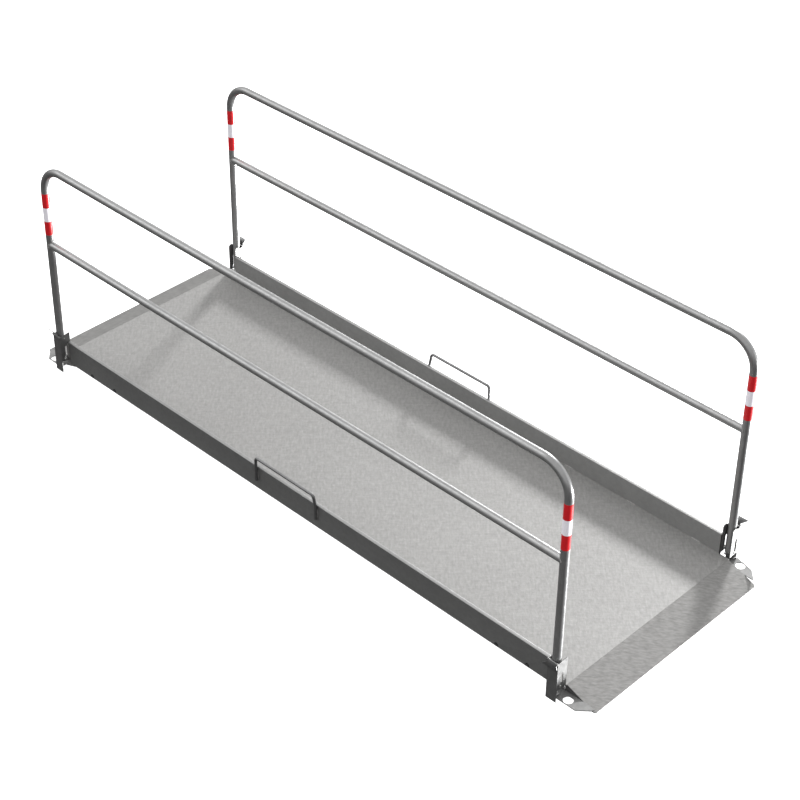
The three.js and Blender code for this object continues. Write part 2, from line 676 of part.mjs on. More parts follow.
function corner(side, end) {
  const group = new THREE.Group();
  group.add(postBracket(side, end), anchorPlate(side, end), rampSkirt(side, end));
  group.add(pivotPin(side, end), pivotRing(side, end));
  group.add(latchLever(side, end), latchPin(side, end));
  return group;
}

function handrail(side) {
  const group = new THREE.Group();
  group.add(railHoop(side), midRail(side));
  ENDS.forEach((end) => {
    BAND_NAMES.forEach((_, level) => group.add(reflectiveBand(side, end, level)));
  });
  return group;
}

const footbridge = new THREE.Group();
footbridge.add(walkway());
SIDES.forEach((side) => {
  footbridge.add(handrail(side));
  ENDS.forEach((end) => footbridge.add(corner(side, end)));
});

export default footbridge;
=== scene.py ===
"""A portable trench footbridge with folding handrails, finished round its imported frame.

Metres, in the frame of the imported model: +X along the walkway, +Y across it, +Z up, origin on the
ground under the middle. Sizes written in millimetres are turned into metres by mm().
"near" is the -Y side, "far" the +Y side, "left" the -X end and "right" the +X end.
"""

import math

import bmesh
import bpy
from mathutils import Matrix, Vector


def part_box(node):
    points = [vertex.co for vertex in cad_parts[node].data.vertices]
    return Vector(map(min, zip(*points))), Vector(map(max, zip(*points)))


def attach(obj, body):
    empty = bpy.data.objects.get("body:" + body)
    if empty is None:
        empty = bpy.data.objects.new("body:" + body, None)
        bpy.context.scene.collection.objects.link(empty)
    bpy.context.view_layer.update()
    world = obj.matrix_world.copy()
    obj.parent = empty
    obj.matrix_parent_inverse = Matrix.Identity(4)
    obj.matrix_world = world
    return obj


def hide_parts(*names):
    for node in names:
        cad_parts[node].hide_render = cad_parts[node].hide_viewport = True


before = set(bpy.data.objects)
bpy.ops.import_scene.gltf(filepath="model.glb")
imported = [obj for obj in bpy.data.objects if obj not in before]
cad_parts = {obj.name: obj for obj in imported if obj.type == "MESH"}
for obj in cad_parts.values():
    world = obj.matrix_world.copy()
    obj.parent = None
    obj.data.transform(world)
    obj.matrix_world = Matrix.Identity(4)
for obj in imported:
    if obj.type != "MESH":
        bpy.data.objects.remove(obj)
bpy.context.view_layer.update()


def mm(value):
    return value / 1000


SIDES = {"near": -1, "far": 1}
ENDS = {"left": -1, "right": 1}
CORNERS = [(side, end) for side in SIDES for end in ENDS]
BAND_NAMES = ["lower", "middle", "upper"]
RIB_COUNT = 5

# Handrails
TUBE_RADIUS = mm(33.7 / 2)
TUBE_WALL = mm(2.6)
TUBE_SIDES = 56
BEND_RADIUS = mm(120)
BEND_STEPS = 18
PIVOT_Z = mm(67)
PIN_RADIUS = mm(4)
PIN_HOLE_RADIUS = mm(4.5)
PIN_HEAD_THICKNESS = mm(4.5)
PIN_HEAD_CROWN = mm(2.6)
PIN_HEAD_STEPS = 6
PIN_CHAMFER = mm(0.6)
RING_BORE_RADIUS = mm(4.3)
RING_CHAMFER = mm(0.3)
FIT_GAP = mm(0.3)

# Reflective film
FILM_LIFT = mm(0.03)
FILM_THICKNESS = mm(0.3)
FILM_OVERLAP = mm(0.25)
FILM_OVERLAP_SHARE = 0.06
FILM_SIDES = 72
# Emission strength of the films: painted light that makes them brighter than the lamps alone do
FILM_PAINTED_GLOW = 0.14

# Carry handles
HANDLE_RADIUS = mm(6)
HANDLE_SIDES = 28
HANDLE_CENTRE_X = mm(5)
HANDLE_FOOT = (mm(173), mm(506.4), mm(80))
HANDLE_KINK_Z = mm(146)
HANDLE_TOP = (mm(167), mm(512), mm(200))
HANDLE_CORNER_RADIUS = mm(16)
HANDLE_BEND_STEPS = 10

# Brackets
SLOT_RADIUS = mm(5.5)
SLOT_RUNS = {
    "near": [((517.3, 67), (510.5, 76.5)), ((510.5, 76.5), (510.5, 125.5))],
    "far": [((518, 67), (518, 125.5)), ((513.5, 66), (518, 78))],
}
BRACKET_FOLD_RADIUS = mm(2.6)
BRACKET_WEB_Y = mm(538)
BRACKET_WEB_TOP = mm(182)
CHEEK_BOTTOM = mm(57)
CUT_MARGIN = mm(0.05)
CUT_SIDES = 48
SAME_PLACE = mm(0.1)

# Beams and the plates they carry
BEAM_FOLD_RADIUS = mm(3.2)
BEAM_SHEET = mm(2.5)
BEAM_HOLE_RADIUS = mm(5.25)
BEAM_HOLE_Z = mm(45)
BEAM_HOLES_NEAR = [mm(-1242), mm(-1089), mm(1131), mm(1283)]
ANCHOR_HOLE = (mm(1490.4), mm(512.4))
ANCHOR_HOLE_RADIUS = mm(20)
SHEET_EDGE = mm(0.45)

# Near-black liners in the beams' bolt holes: painted shade that keeps the holes dark
SHADE_LINER_BORE_RADIUS = mm(3)
SHADE_LINER_SLEEVE_RADIUS = BEAM_HOLE_RADIUS - mm(0.15)
SHADE_LINER_FLANGE_RADIUS = mm(8.5)
SHADE_LINER_FLANGE_THICKNESS = mm(1.2)
SHADE_LINER_DEPTH = mm(12)
SHADE_LINER_CHAMFER = mm(0.3)

# Raised pattern of the deck: diamonds that alternate between the two diagonals
DIAMOND_PITCH = mm(17)
DIAMOND_LONG = mm(6.2)
DIAMOND_SHORT = mm(2.4)
DIAMOND_CROWN = 0.5
DIAMOND_HEIGHT = mm(0.28)

# Welds
WELD_SIDES = 10
WELD_RIPPLE = 0.14
WELD_RIPPLE_PITCH = mm(2.6)
WELD_STEP = mm(0.65)
RAIL_WELD_SIDES = 80
HANDLE_WELD_SPREAD = mm(4.2)
HANDLE_WELD_Y = mm(500.9)
HANDLE_WELD_RUN = (mm(84), mm(128))
STITCH_COUNT = 9
STITCH_HALF_LENGTH = mm(20)
STITCH_INSET = mm(0.3)
BRACKET_WELD_X = mm(1404)
BRACKET_WELD_Y = mm(500.4)
BRACKET_WELD_RUN = (mm(62), mm(140))

# Rivets
RIVET_PLACE = (mm(515), mm(172))

# Camera and light
CAMERA_PLACE = (4.5625, -4.5941, 5.1)
CAMERA_AZIMUTH = 45.18
CAMERA_ELEVATION = 35.089
CAMERA_LENS = 88.865
CAMERA_SHIFT = (0.0449, -0.0615)
CAMERA_SENSOR = 36
LIGHT_DISTANCE = 8
# Azimuth, elevation, width of the source (degrees) and strength. The side light comes from below,
# as if off a white table behind the right end.
KEY_LIGHT = (201, 21.3, 8, 3.6)
SIDE_LIGHT = (142, -23, 10, 9.0)
FILL_LIGHT = (300, 42, 40, 0.7)
SKY_BELOW = 0.08
SKY_ABOVE = 0.95
SKY_EDGE = (-0.05, 0.2)
FLOOR_HALF = 40
FLOOR_DROP = mm(0.2)


# ---- Mesh helpers ----


def span(node):
    low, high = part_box(node)
    return low, high, (low + high) / 2


def add_object(name, bm):
    bmesh.ops.recalc_face_normals(bm, faces=bm.faces)
    data = bpy.data.meshes.new(name)
    bm.to_mesh(data)
    bm.free()
    made = bpy.data.objects.new(name, data)
    bpy.context.scene.collection.objects.link(made)
    return made


def bake_modifiers(made):
    bpy.context.view_layer.update()
    evaluated = made.evaluated_get(bpy.context.evaluated_depsgraph_get())
    baked = bpy.data.meshes.new_from_object(evaluated)
    made.modifiers.clear()
    made.data = baked


def carve(made, cutter):
    """Takes the cutter's shape out of the piece, and the cutter out of the scene."""
    change = made.modifiers.new("carve", "BOOLEAN")
    change.operation = "DIFFERENCE"
    change.solver = "EXACT"
    change.object = cutter
    bake_modifiers(made)
    bpy.data.objects.remove(cutter)


def round_edges(made, width, segments=3):
    rounding = made.modifiers.new("rounding", "BEVEL")
    rounding.width = width
    rounding.segments = segments
    rounding.limit_method = "ANGLE"
    rounding.angle_limit = math.radians(38)
    bake_modifiers(made)


def smooth(made, sharp_angle=50):
    made.data.shade_smooth()
    made.data.set_sharp_from_angle(angle=math.radians(sharp_angle))
    weighted = made.modifiers.new("weighted_normals", "WEIGHTED_NORMAL")
    weighted.keep_sharp = True


def dress(made, body, material, slot, *nodes):
    """Gives a piece its material and body, and hides the CAD nodes that it stands for; the slot is not used.
    """
    made.data.materials.clear()
    made.data.materials.append(material)
    if nodes:
        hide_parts(*nodes)
    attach(made, body)


def cad_copy(node):
    """A working copy of a CAD node's mesh, whole and with its flat faces in one piece each."""
    bm = bmesh.new()
    bm.from_mesh(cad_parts[node].data)
    bmesh.ops.remove_doubles(bm, verts=bm.verts, dist=mm(0.002))
    flat = math.radians(0.5)
    bmesh.ops.dissolve_limit(bm, angle_limit=flat, verts=bm.verts, edges=bm.edges)
    return bm


def fold(bm, chosen, radius, segments=5):
    """Rounds the edges whose two ends are both chosen, as a folded sheet is round at its folds."""
    edges = [edge for edge in bm.edges if all(chosen(vertex.co) for vertex in edge.verts)]
    bmesh.ops.bevel(bm, geom=edges, offset=radius, segments=segments, affect="EDGES", profile=0.5)


def close_to(value, target):
    return abs(value - target) < SAME_PLACE


def bar(name, outline, axis, start, end):
    """A straight bar with the given outline. Its two outline coordinates are the other two axes."""
    others = [k for k in range(3) if k != axis]
    bm = bmesh.new()

    def ring(place):
        points = []
        for pair in outline:
            point = Vector((0, 0, 0))
            point[others[0]], point[others[1]] = pair
            point[axis] = place
            points.append(bm.verts.new(point))
        return points

    first, last = ring(start), ring(end)
    bm.faces.new(first)
    bm.faces.new(last)
    for i in range(len(outline)):
        j = (i + 1) % len(outline)
        bm.faces.new([first[i], first[j], last[j], last[i]])
    return add_object(name, bm)


def round_outline(centre, radius, sides=CUT_SIDES):
    turns = [2 * math.pi * k / sides for k in range(sides)]
    return [(centre[0] + radius * math.cos(t), centre[1] + radius * math.sin(t)) for t in turns]


def slot_outline(start, end, radius, sides=CUT_SIDES):
    heading = math.atan2(end[1] - start[1], end[0] - start[0])
    outline = []
    for centre, first in ((end, heading - math.pi / 2), (start, heading + math.pi / 2)):
        for k in range(sides // 2 + 1):
            turn = first + 2 * math.pi * k / sides
            outline.append((centre[0] + radius * math.cos(turn), centre[1] + radius * math.sin(turn)))
    return outline


def bent_path(corners, radius, steps):
    """Points along straight runs that meet in round bends."""
    points = [corners[0]]
    for before, corner, after in zip(corners, corners[1:], corners[2:]):
        arriving = (corner - before).normalized()
        leaving = (after - corner).normalized()
        turn = arriving.angle(leaving)
        start = corner - arriving * radius * math.tan(turn / 2)
        inward = (leaving - arriving * leaving.dot(arriving)).normalized()
        centre = start + inward * radius
        for k in range(steps + 1):
            angle = turn * k / steps
            points.append(centre - inward * radius * math.cos(angle) + arriving * radius * math.sin(angle))
    points.append(corners[-1])
    return points


def cross_directions(points, looped=False):
    """Two directions across the path at each point, carried along it without twist."""
    count = len(points)
    pairs = []
    side = None
    for i in range(count):
        before = points[(i - 1) % count] if looped else points[max(i - 1, 0)]
        after = points[(i + 1) % count] if looped else points[min(i + 1, count - 1)]
        along = (after - before).normalized()
        side = along.orthogonal() if side is None else side - along * side.dot(along)
        side.normalize()
        pairs.append((side.copy(), along.cross(side)))
    return pairs


def sweep(bm, points, radii, sides, looped=False):
    """Rings of vertices along a path, joined into a skin. Returns the rings."""
    rings = []
    for point, radius, (u, v) in zip(points, radii, cross_directions(points, looped)):
        turns = [2 * math.pi * k / sides for k in range(sides)]
        ring = [point + (u * math.cos(t) + v * math.sin(t)) * radius for t in turns]
        rings.append([bm.verts.new(place) for place in ring])
    following = rings[1:] + rings[:1] if looped else rings[1:]
    for here, there in zip(rings, following):
        for k in range(sides):
            m = (k + 1) % sides
            bm.faces.new([here[k], here[m], there[m], there[k]])
    return rings


def hollow_tube(name, points, trim_end):
    """A tube with a wall. trim_end moves each vertex of its two ends, to shape the cut."""
    bm = bmesh.new()
    outer = sweep(bm, points, [TUBE_RADIUS] * len(points), TUBE_SIDES)
    inner = sweep(bm, points, [TUBE_RADIUS - TUBE_WALL] * len(points), TUBE_SIDES)
    for which in (0, -1):
        for vertex in outer[which] + inner[which]:
            vertex.co = trim_end(vertex.co)
        for k in range(TUBE_SIDES):
            m = (k + 1) % TUBE_SIDES
            bm.faces.new([outer[which][k], outer[which][m], inner[which][m], inner[which][k]])
    return add_object(name, bm)


def revolve(bm, profile, origin, axis, sides=40):
    """Turns (radius, height) pairs about an axis. A radius of 0 is a point on the axis."""
    axis = axis.normalized()
    u = axis.orthogonal().normalized()
    v = axis.cross(u)
    rings = []
    for radius, height in profile:
        base = origin + axis * height
        if radius == 0:
            rings.append([bm.verts.new(base)])
            continue
        turns = [2 * math.pi * k / sides for k in range(sides)]
        rings.append([bm.verts.new(base + (u * math.cos(t) + v * math.sin(t)) * radius) for t in turns])
    for here, there in zip(rings, rings[1:]):
        for k in range(sides):
            m = (k + 1) % sides
            corners = [here[k % len(here)], here[m % len(here)], there[m % len(there)], there[k % len(there)]]
            bm.faces.new(list(dict.fromkeys(corners)))


def weld_bead(bm, points, radius, looped=False):
    """A rippled bead along a line of points."""
    line = resample(points + points[:1] if looped else points)
    if looped:
        line.pop()
    radii = []
    for i in range(len(line)):
        ripple = 1 + WELD_RIPPLE * math.sin(2 * math.pi * i * WELD_STEP / WELD_RIPPLE_PITCH)
        from_end = min(i, len(line) - 1 - i)
        taper = 1 if looped else min(1, 0.35 + 0.22 * from_end)
        radii.append(radius * ripple * taper)
    rings = sweep(bm, line, radii, WELD_SIDES, looped)
    if not looped:
        bm.faces.new(rings[0])
        bm.faces.new(rings[-1])


def resample(points):
    """The same line with points a weld step apart."""
    line = []
    for start, end in zip(points, points[1:]):
        steps = max(1, round((end - start).length / WELD_STEP))
        line += [start.lerp(end, k / steps) for k in range(steps)]
    return line + [points[-1].copy()]


# ---- Materials ----


def new_material(name, metallic, specular=0.5):
    material = bpy.data.materials.new(name)
    material.use_nodes = True
    nodes = material.node_tree.nodes
    shader = nodes["Principled BSDF"]
    shader.inputs["Metallic"].default_value = metallic
    shader.inputs["Specular IOR Level"].default_value = specular
    return material, material.node_tree, shader


def object_coordinates(tree, stretch=(1, 1, 1), turn=0):
    """Coordinates that stay with the piece: turned about Z (degrees), then squeezed along their axes."""
    source = tree.nodes.new("ShaderNodeTexCoord")
    mapping = tree.nodes.new("ShaderNodeMapping")
    mapping.vector_type = "TEXTURE"
    mapping.inputs["Rotation"].default_value = (0, 0, math.radians(turn))
    mapping.inputs["Scale"].default_value = [1 / s for s in stretch]
    tree.links.new(source.outputs["Object"], mapping.inputs["Vector"])
    return mapping.outputs["Vector"]


def noise(tree, scale, detail=4.0, roughness=0.55, stretch=(1, 1, 1), turn=0, waver=0.0):
    texture = tree.nodes.new("ShaderNodeTexNoise")
    texture.inputs["Scale"].default_value = scale
    texture.inputs["Detail"].default_value = detail
    texture.inputs["Roughness"].default_value = roughness
    texture.inputs["Distortion"].default_value = waver
    tree.links.new(object_coordinates(tree, stretch, turn), texture.inputs["Vector"])
    return texture.outputs["Fac"]


def crystals(tree, scale):
    """The flat patches of a zinc coat: one grey for each cell."""
    cells = tree.nodes.new("ShaderNodeTexVoronoi")
    cells.inputs["Scale"].default_value = scale
    cells.inputs["Randomness"].default_value = 1.0
    tree.links.new(object_coordinates(tree), cells.inputs["Vector"])
    grey = tree.nodes.new("ShaderNodeRGBToBW")
    tree.links.new(cells.outputs["Color"], grey.inputs["Color"])
    return grey.outputs["Val"]


def spread_between(tree, value, low, high, from_low=0.3, from_high=0.7):
    scaled = tree.nodes.new("ShaderNodeMapRange")
    scaled.inputs["From Min"].default_value = from_low
    scaled.inputs["From Max"].default_value = from_high
    scaled.inputs["To Min"].default_value = low
    scaled.inputs["To Max"].default_value = high
    tree.links.new(value, scaled.inputs["Value"])
    return scaled.outputs["Result"]


def combine(tree, operation, first, second):
    maths = tree.nodes.new("ShaderNodeMath")
    maths.operation = operation
    tree.links.new(first, maths.inputs[0])
    tree.links.new(second, maths.inputs[1])
    return maths.outputs["Value"]


def shade(tree, shader, colour, strength):
    """The base colour, made lighter and darker by a value around 1."""
    scale = tree.nodes.new("ShaderNodeVectorMath")
    scale.operation = "SCALE"
    scale.inputs[0].default_value = colour
    tree.links.new(strength, scale.inputs["Scale"])
    tree.links.new(scale.outputs["Vector"], shader.inputs["Base Color"])


def raise_bumps(tree, shader, heights):
    """Small relief from (height, strength, distance) triples, one on top of the other."""
    normal = None
    for height, strength, distance in heights:
        bump = tree.nodes.new("ShaderNodeBump")
        bump.inputs["Strength"].default_value = strength
        bump.inputs["Distance"].default_value = distance
        tree.links.new(height, bump.inputs["Height"])
        if normal is not None:
            tree.links.new(normal, bump.inputs["Normal"])
        normal = bump.outputs["Normal"]
    tree.links.new(normal, shader.inputs["Normal"])


def worn_edges(tree):
    """A little over 1 on outside edges, where the coat is rubbed bright."""
    geometry = tree.nodes.new("ShaderNodeNewGeometry")
    return spread_between(tree, geometry.outputs["Pointiness"], 0.94, 1.16, 0.46, 0.58)


def zinc(name, colour, metallic=0.55, roughness=0.42, crystal_scale=70, contrast=0.06):
    """Galvanised steel: crystal patches, cloudy stains, fine grain and rubbed edges."""
    material, tree, shader = new_material(name, metallic)
    patches = spread_between(tree, crystals(tree, crystal_scale), 1 - contrast, 1 + contrast)
    clouds = spread_between(tree, noise(tree, 5.0, 5), 0.95, 1.05)
    strength = combine(tree, "MULTIPLY", combine(tree, "MULTIPLY", patches, clouds), worn_edges(tree))
    shade(tree, shader, colour, strength)
    dullness = spread_between(tree, noise(tree, 60.0, 4), roughness - 0.06, roughness + 0.08)
    tree.links.new(dullness, shader.inputs["Roughness"])
    grain = noise(tree, 900.0, 3)
    ripples = noise(tree, 45.0, 3)
    raise_bumps(tree, shader, [(ripples, 0.12, mm(0.6)), (grain, 0.12, mm(0.12))])
    return material


def embossed_sheet(name, colour):
    """Deck sheet: short linen-like streaks along both diagonals, over a dull zinc coat."""
    material, tree, shader = new_material(name, 0.35)
    across = spread_between(tree, noise(tree, 95.0, 4, 0.6, (1, 0.3, 1), 45), 0.88, 1.12)
    along = spread_between(tree, noise(tree, 95.0, 4, 0.6, (0.3, 1, 1), 45), 0.93, 1.07)
    clouds = spread_between(tree, noise(tree, 2.2, 5), 0.97, 1.03)
    streaks = combine(tree, "MULTIPLY", across, along)
    shade(tree, shader, colour, combine(tree, "MULTIPLY", streaks, clouds))
    dullness = spread_between(tree, noise(tree, 120.0, 4), 0.46, 0.62)
    tree.links.new(dullness, shader.inputs["Roughness"])
    raise_bumps(tree, shader, [(streaks, 0.25, mm(0.5)), (noise(tree, 1100.0, 3), 0.18, mm(0.15))])
    return material


def brushed_sheet(name, colour):
    """Ramp sheet: short wavering strokes, slanting across the walking direction."""
    material, tree, shader = new_material(name, 0.75)
    strokes = noise(tree, 125.0, 3, 0.55, (0.2, 1, 1), 45, 0.3)
    scratches = noise(tree, 260.0, 4, 0.6, (0.14, 1, 1), 45)
    bold = spread_between(tree, strokes, 0.82, 1.18)
    fine = spread_between(tree, scratches, 0.93, 1.07)
    shade(tree, shader, colour, combine(tree, "MULTIPLY", bold, fine))
    tree.links.new(spread_between(tree, strokes, 0.4, 0.56), shader.inputs["Roughness"])
    raise_bumps(tree, shader, [(scratches, 0.25, mm(0.4))])
    return material


def reflective_film(name, colour):
    """Retroreflective film: a fine cell pattern under a clear face, with a faint glow in its own colour that
    is painted light brightening the film.
    """
    material, tree, shader = new_material(name, 0.0)
    shader.inputs["Coat Weight"].default_value = 0.25
    shader.inputs["Coat Roughness"].default_value = 0.12
    # Painted light: the film glows faintly in its own colour
    shader.inputs["Emission Color"].default_value = (*colour, 1)
    shader.inputs["Emission Strength"].default_value = FILM_PAINTED_GLOW
    cells = tree.nodes.new("ShaderNodeTexVoronoi")
    cells.feature = "DISTANCE_TO_EDGE"
    cells.inputs["Scale"].default_value = 420
    cells.inputs["Randomness"].default_value = 0.12
    tree.links.new(object_coordinates(tree), cells.inputs["Vector"])
    walls = spread_between(tree, cells.outputs["Distance"], 0.86, 1.02, 0.0, 0.12)
    scuffs = spread_between(tree, noise(tree, 35.0, 5), 0.95, 1.04)
    shade(tree, shader, colour, combine(tree, "MULTIPLY", walls, scuffs))
    tree.links.new(spread_between(tree, noise(tree, 80.0), 0.28, 0.42), shader.inputs["Roughness"])
    raise_bumps(tree, shader, [(walls, 0.12, mm(0.1))])
    return material


def make_materials():
    return {
        "deck": embossed_sheet("deck_sheet_finish", (0.275, 0.272, 0.266)),
        "ramp": brushed_sheet("ramp_sheet_finish", (0.275, 0.272, 0.266)),
        # The skirts' near-black colour is painted shade: it darkens the upright side sheets as if they stood
        # in shadow
        "skirt": zinc("skirt_painted_shade", (0.1, 0.1, 0.1), 0.3, 0.55, contrast=0.04),
        "beam": zinc("beam_finish", (0.29, 0.29, 0.288), 0.7, contrast=0.03),
        "plate": zinc("plate_finish", (0.3, 0.3, 0.298), 0.7, contrast=0.05),
        "bracket": zinc("bracket_finish", (0.2, 0.2, 0.199), 0.7, contrast=0.05),
        "anchor": zinc("anchor_finish", (0.19, 0.19, 0.188), 0.4, 0.58, contrast=0.06),
        "lever": zinc("lever_finish", (0.18, 0.18, 0.18), 0.75, 0.4, contrast=0.04),
        "rod": zinc("rod_finish", (0.17, 0.17, 0.172), 0.75, 0.36, contrast=0.03),
        "tube": zinc("tube_finish", (0.31, 0.311, 0.311), 0.65, 0.34, contrast=0.03),
        "fastener": zinc("fastener_finish", (0.6, 0.6, 0.585), 0.85, 0.28, 160, 0.03),
        # Near-black: painted shade for the insides of the bolt holes
        "hole_shade": zinc("hole_painted_shade", (0.018, 0.018, 0.018), 0.2, 0.5, 160, 0.03),
        "weld": zinc("weld_finish", (0.34, 0.335, 0.33), 0.6, 0.48, 220, 0.12),
        "red": reflective_film("red_film", (0.6, 0.012, 0.018)),
        "white": reflective_film("white_film", (0.9, 0.88, 0.94)),
    }


# ---- Walkway ----


def deck_sheet(materials):
    """One watertight sheet whose top is a grid of cells, each with a low diamond pressed into it."""
    low, high, _ = span("deck_plate")
    columns = round((high.x - low.x) / DIAMOND_PITCH)
    rows = round((high.y - low.y) / DIAMOND_PITCH)
    step_x = (high.x - low.x) / columns
    step_y = (high.y - low.y) / rows
    bm = bmesh.new()

    def layer(z):
        return [
            [bm.verts.new((low.x + i * step_x, low.y + j * step_y, z)) for j in range(rows + 1)]
            for i in range(columns + 1)
        ]

    top, bottom = layer(high.z), layer(low.z)

    def cell(grid, i, j):
        return [grid[i][j], grid[i + 1][j], grid[i + 1][j + 1], grid[i][j + 1]]

    def diamond(i, j):
        corners = cell(top, i, j)
        centre = (corners[0].co + corners[2].co) / 2
        reaches = [DIAMOND_LONG, DIAMOND_SHORT] if (i + j) % 2 else [DIAMOND_SHORT, DIAMOND_LONG]
        feet = []
        crown = []
        for k, corner in enumerate(corners):
            arm = (corner.co - centre).normalized() * reaches[k % 2]
            feet.append(bm.verts.new(centre + arm))
            crown.append(bm.verts.new(centre + arm * DIAMOND_CROWN + Vector((0, 0, DIAMOND_HEIGHT))))
        for k in range(4):
            m = (k + 1) % 4
            bm.faces.new([corners[k], corners[m], feet[m], feet[k]])
            bm.faces.new([feet[k], feet[m], crown[m], crown[k]])
        bm.faces.new(crown)

    for i in range(columns):
        for j in range(rows):
            bm.faces.new(cell(bottom, i, j))
            if 0 < i < columns - 1 and 0 < j < rows - 1:
                diamond(i, j)
            else:
                bm.faces.new(cell(top, i, j))
    for i in range(columns):
        for j in (0, rows):
            bm.faces.new([top[i][j], top[i + 1][j], bottom[i + 1][j], bottom[i][j]])
    for j in range(rows):
        for i in (0, columns):
            bm.faces.new([top[i][j], top[i][j + 1], bottom[i][j + 1], bottom[i][j]])
    made = add_object("deck_sheet", bm)
    smooth(made, 60)
    dress(made, "walkway", materials["deck"], "deck_sheet", "deck_plate")


def ramp_sheet(materials, end):
    made = add_object(f"ramp_sheet_{end}", cad_copy(f"ramp_plate_{end}"))
    round_edges(made, SHEET_EDGE)
    smooth(made)
    dress(made, "walkway", materials["ramp"], "ramp_sheet", f"ramp_plate_{end}")


def ramp_skirt(materials, side, end):
    """The upright sheet that closes the side of a ramp, in a near-black colour that is painted shade."""
    node = f"ramp_skirt_{side}_{end}"
    made = add_object(f"skirt_sheet_{side}_{end}", cad_copy(node))
    round_edges(made, SHEET_EDGE, 2)
    smooth(made)
    dress(made, "walkway", materials["skirt"], "ramp_sheet", node)


def beam(materials, side):
    """The CAD channel, with round folds and smooth bolt holes."""
    node = f"side_beam_{side}"
    low, high, _ = span(node)
    bm = cad_copy(node)

    def on_fold(place):
        return (close_to(place.y, low.y) or close_to(place.y, high.y)) and (
            close_to(place.z, high.z) or close_to(place.z, low.z)
        )

    fold(bm, on_fold, BEAM_FOLD_RADIUS)
    made = add_object(f"folded_beam_{side}", bm)
    sign = SIDES[side]
    web = (high.y if sign > 0 else low.y) - sign * BEAM_SHEET / 2
    for x in BEAM_HOLES_NEAR:
        outline = round_outline((-sign * x, BEAM_HOLE_Z), BEAM_HOLE_RADIUS + CUT_MARGIN)
        carve(made, bar("cutter", outline, 1, web - mm(2.2), web + mm(2.2)))
    smooth(made)
    dress(made, "walkway", materials["beam"], "beam_sheet", node)


def cross_member(materials, node):
    made = add_object(f"channel_{node}", cad_copy(node))
    round_edges(made, SHEET_EDGE * 2)
    smooth(made)
    dress(made, "walkway", materials["plate"], "galvanised_plate", node)


# ---- Corner hardware ----


def bracket(materials, side, end):
    """The CAD bracket, with round folds and smooth slots."""
    node = f"post_bracket_{side}_{end}"
    low, high, _ = span(node)
    sign = SIDES[side]
    web_y = sign * BRACKET_WEB_Y
    bm = cad_copy(node)

    def on_fold(place):
        at_side = close_to(place.x, low.x) or close_to(place.x, high.x)
        on_web = CHEEK_BOTTOM - SAME_PLACE < place.z < BRACKET_WEB_TOP + SAME_PLACE
        return at_side and close_to(place.y, web_y) and on_web

    fold(bm, on_fold, BRACKET_FOLD_RADIUS)
    made = add_object(f"folded_bracket_{side}_{end}", bm)
    for start, finish in SLOT_RUNS[side]:
        first = (sign * mm(start[0]), mm(start[1]))
        last = (sign * mm(finish[0]), mm(finish[1]))
        outline = slot_outline(first, last, SLOT_RADIUS + CUT_MARGIN)
        carve(made, bar("cutter", outline, 0, low.x - mm(1), high.x + mm(1)))
    round_edges(made, SHEET_EDGE, 2)
    smooth(made)
    dress(made, "walkway", materials["bracket"], "galvanised_plate", node)


def anchor(materials, side, end):
    node = f"anchor_plate_{side}_{end}"
    low, high, _ = span(node)
    made = add_object(f"stake_plate_{side}_{end}", cad_copy(node))
    centre = (ENDS[end] * ANCHOR_HOLE[0], SIDES[side] * ANCHOR_HOLE[1])
    outline = round_outline(centre, ANCHOR_HOLE_RADIUS + CUT_MARGIN, 72)
    carve(made, bar("cutter", outline, 2, low.z - mm(1), high.z + mm(1)))
    round_edges(made, SHEET_EDGE)
    smooth(made)
    dress(made, "walkway", materials["anchor"], "galvanised_plate", node)


def latch(materials, side, end):
    node = f"latch_lever_{side}_{end}"
    made = add_object(f"curved_lever_{side}_{end}", cad_copy(node))
    round_edges(made, mm(0.35), 2)
    smooth(made, 40)
    dress(made, f"latch_{side}_{end}", materials["lever"], "galvanised_plate", node)


def latch_pin(materials, side, end):
    """A rod with both ends riveted over into low domes."""
    node = f"latch_pin_{side}_{end}"
    low, high, middle = span(node)
    half = (high.x - low.x) / 2
    radius = (high.z - low.z) / 2
    head = [(0, half), (radius * 0.8, half - mm(0.15)), (radius * 1.25, half - mm(0.6))]
    neck = [(radius * 1.25, half - mm(0.95)), (radius * 0.98, half - mm(0.95))]
    profile = head + neck
    profile += [(r, -h) for r, h in reversed(profile)]
    bm = bmesh.new()
    revolve(bm, profile, middle, Vector((1, 0, 0)), 32)
    made = add_object(f"riveted_pin_{side}_{end}", bm)
    smooth(made, 40)
    dress(made, "walkway", materials["fastener"], "plated_fastener", node)


def pivot_pin(materials, side, end):
    """A headed pin: a low domed head on the inboard side, and a chamfered tip."""
    node = f"pivot_pin_{side}_{end}"
    low, high, middle = span(node)
    outward = Vector((ENDS[end], 0, 0))
    length = high.x - low.x
    head_radius = (high.z - low.z) / 2
    start = middle - outward * length / 2
    profile = [(0, 0)]
    for k in range(1, PIN_HEAD_STEPS + 1):
        turn = math.pi / 2 * k / PIN_HEAD_STEPS
        profile.append((head_radius * math.sin(turn), PIN_HEAD_CROWN * (1 - math.cos(turn))))
    profile += [(head_radius, PIN_HEAD_THICKNESS), (PIN_RADIUS, PIN_HEAD_THICKNESS)]
    profile += [(PIN_RADIUS, length - PIN_CHAMFER), (PIN_RADIUS - PIN_CHAMFER, length), (0, length)]
    bm = bmesh.new()
    revolve(bm, profile, start, outward)
    made = add_object(f"headed_pin_{side}_{end}", bm)
    smooth(made, 45)
    dress(made, f"{side}_pivot_pins", materials["fastener"], "plated_fastener", node)


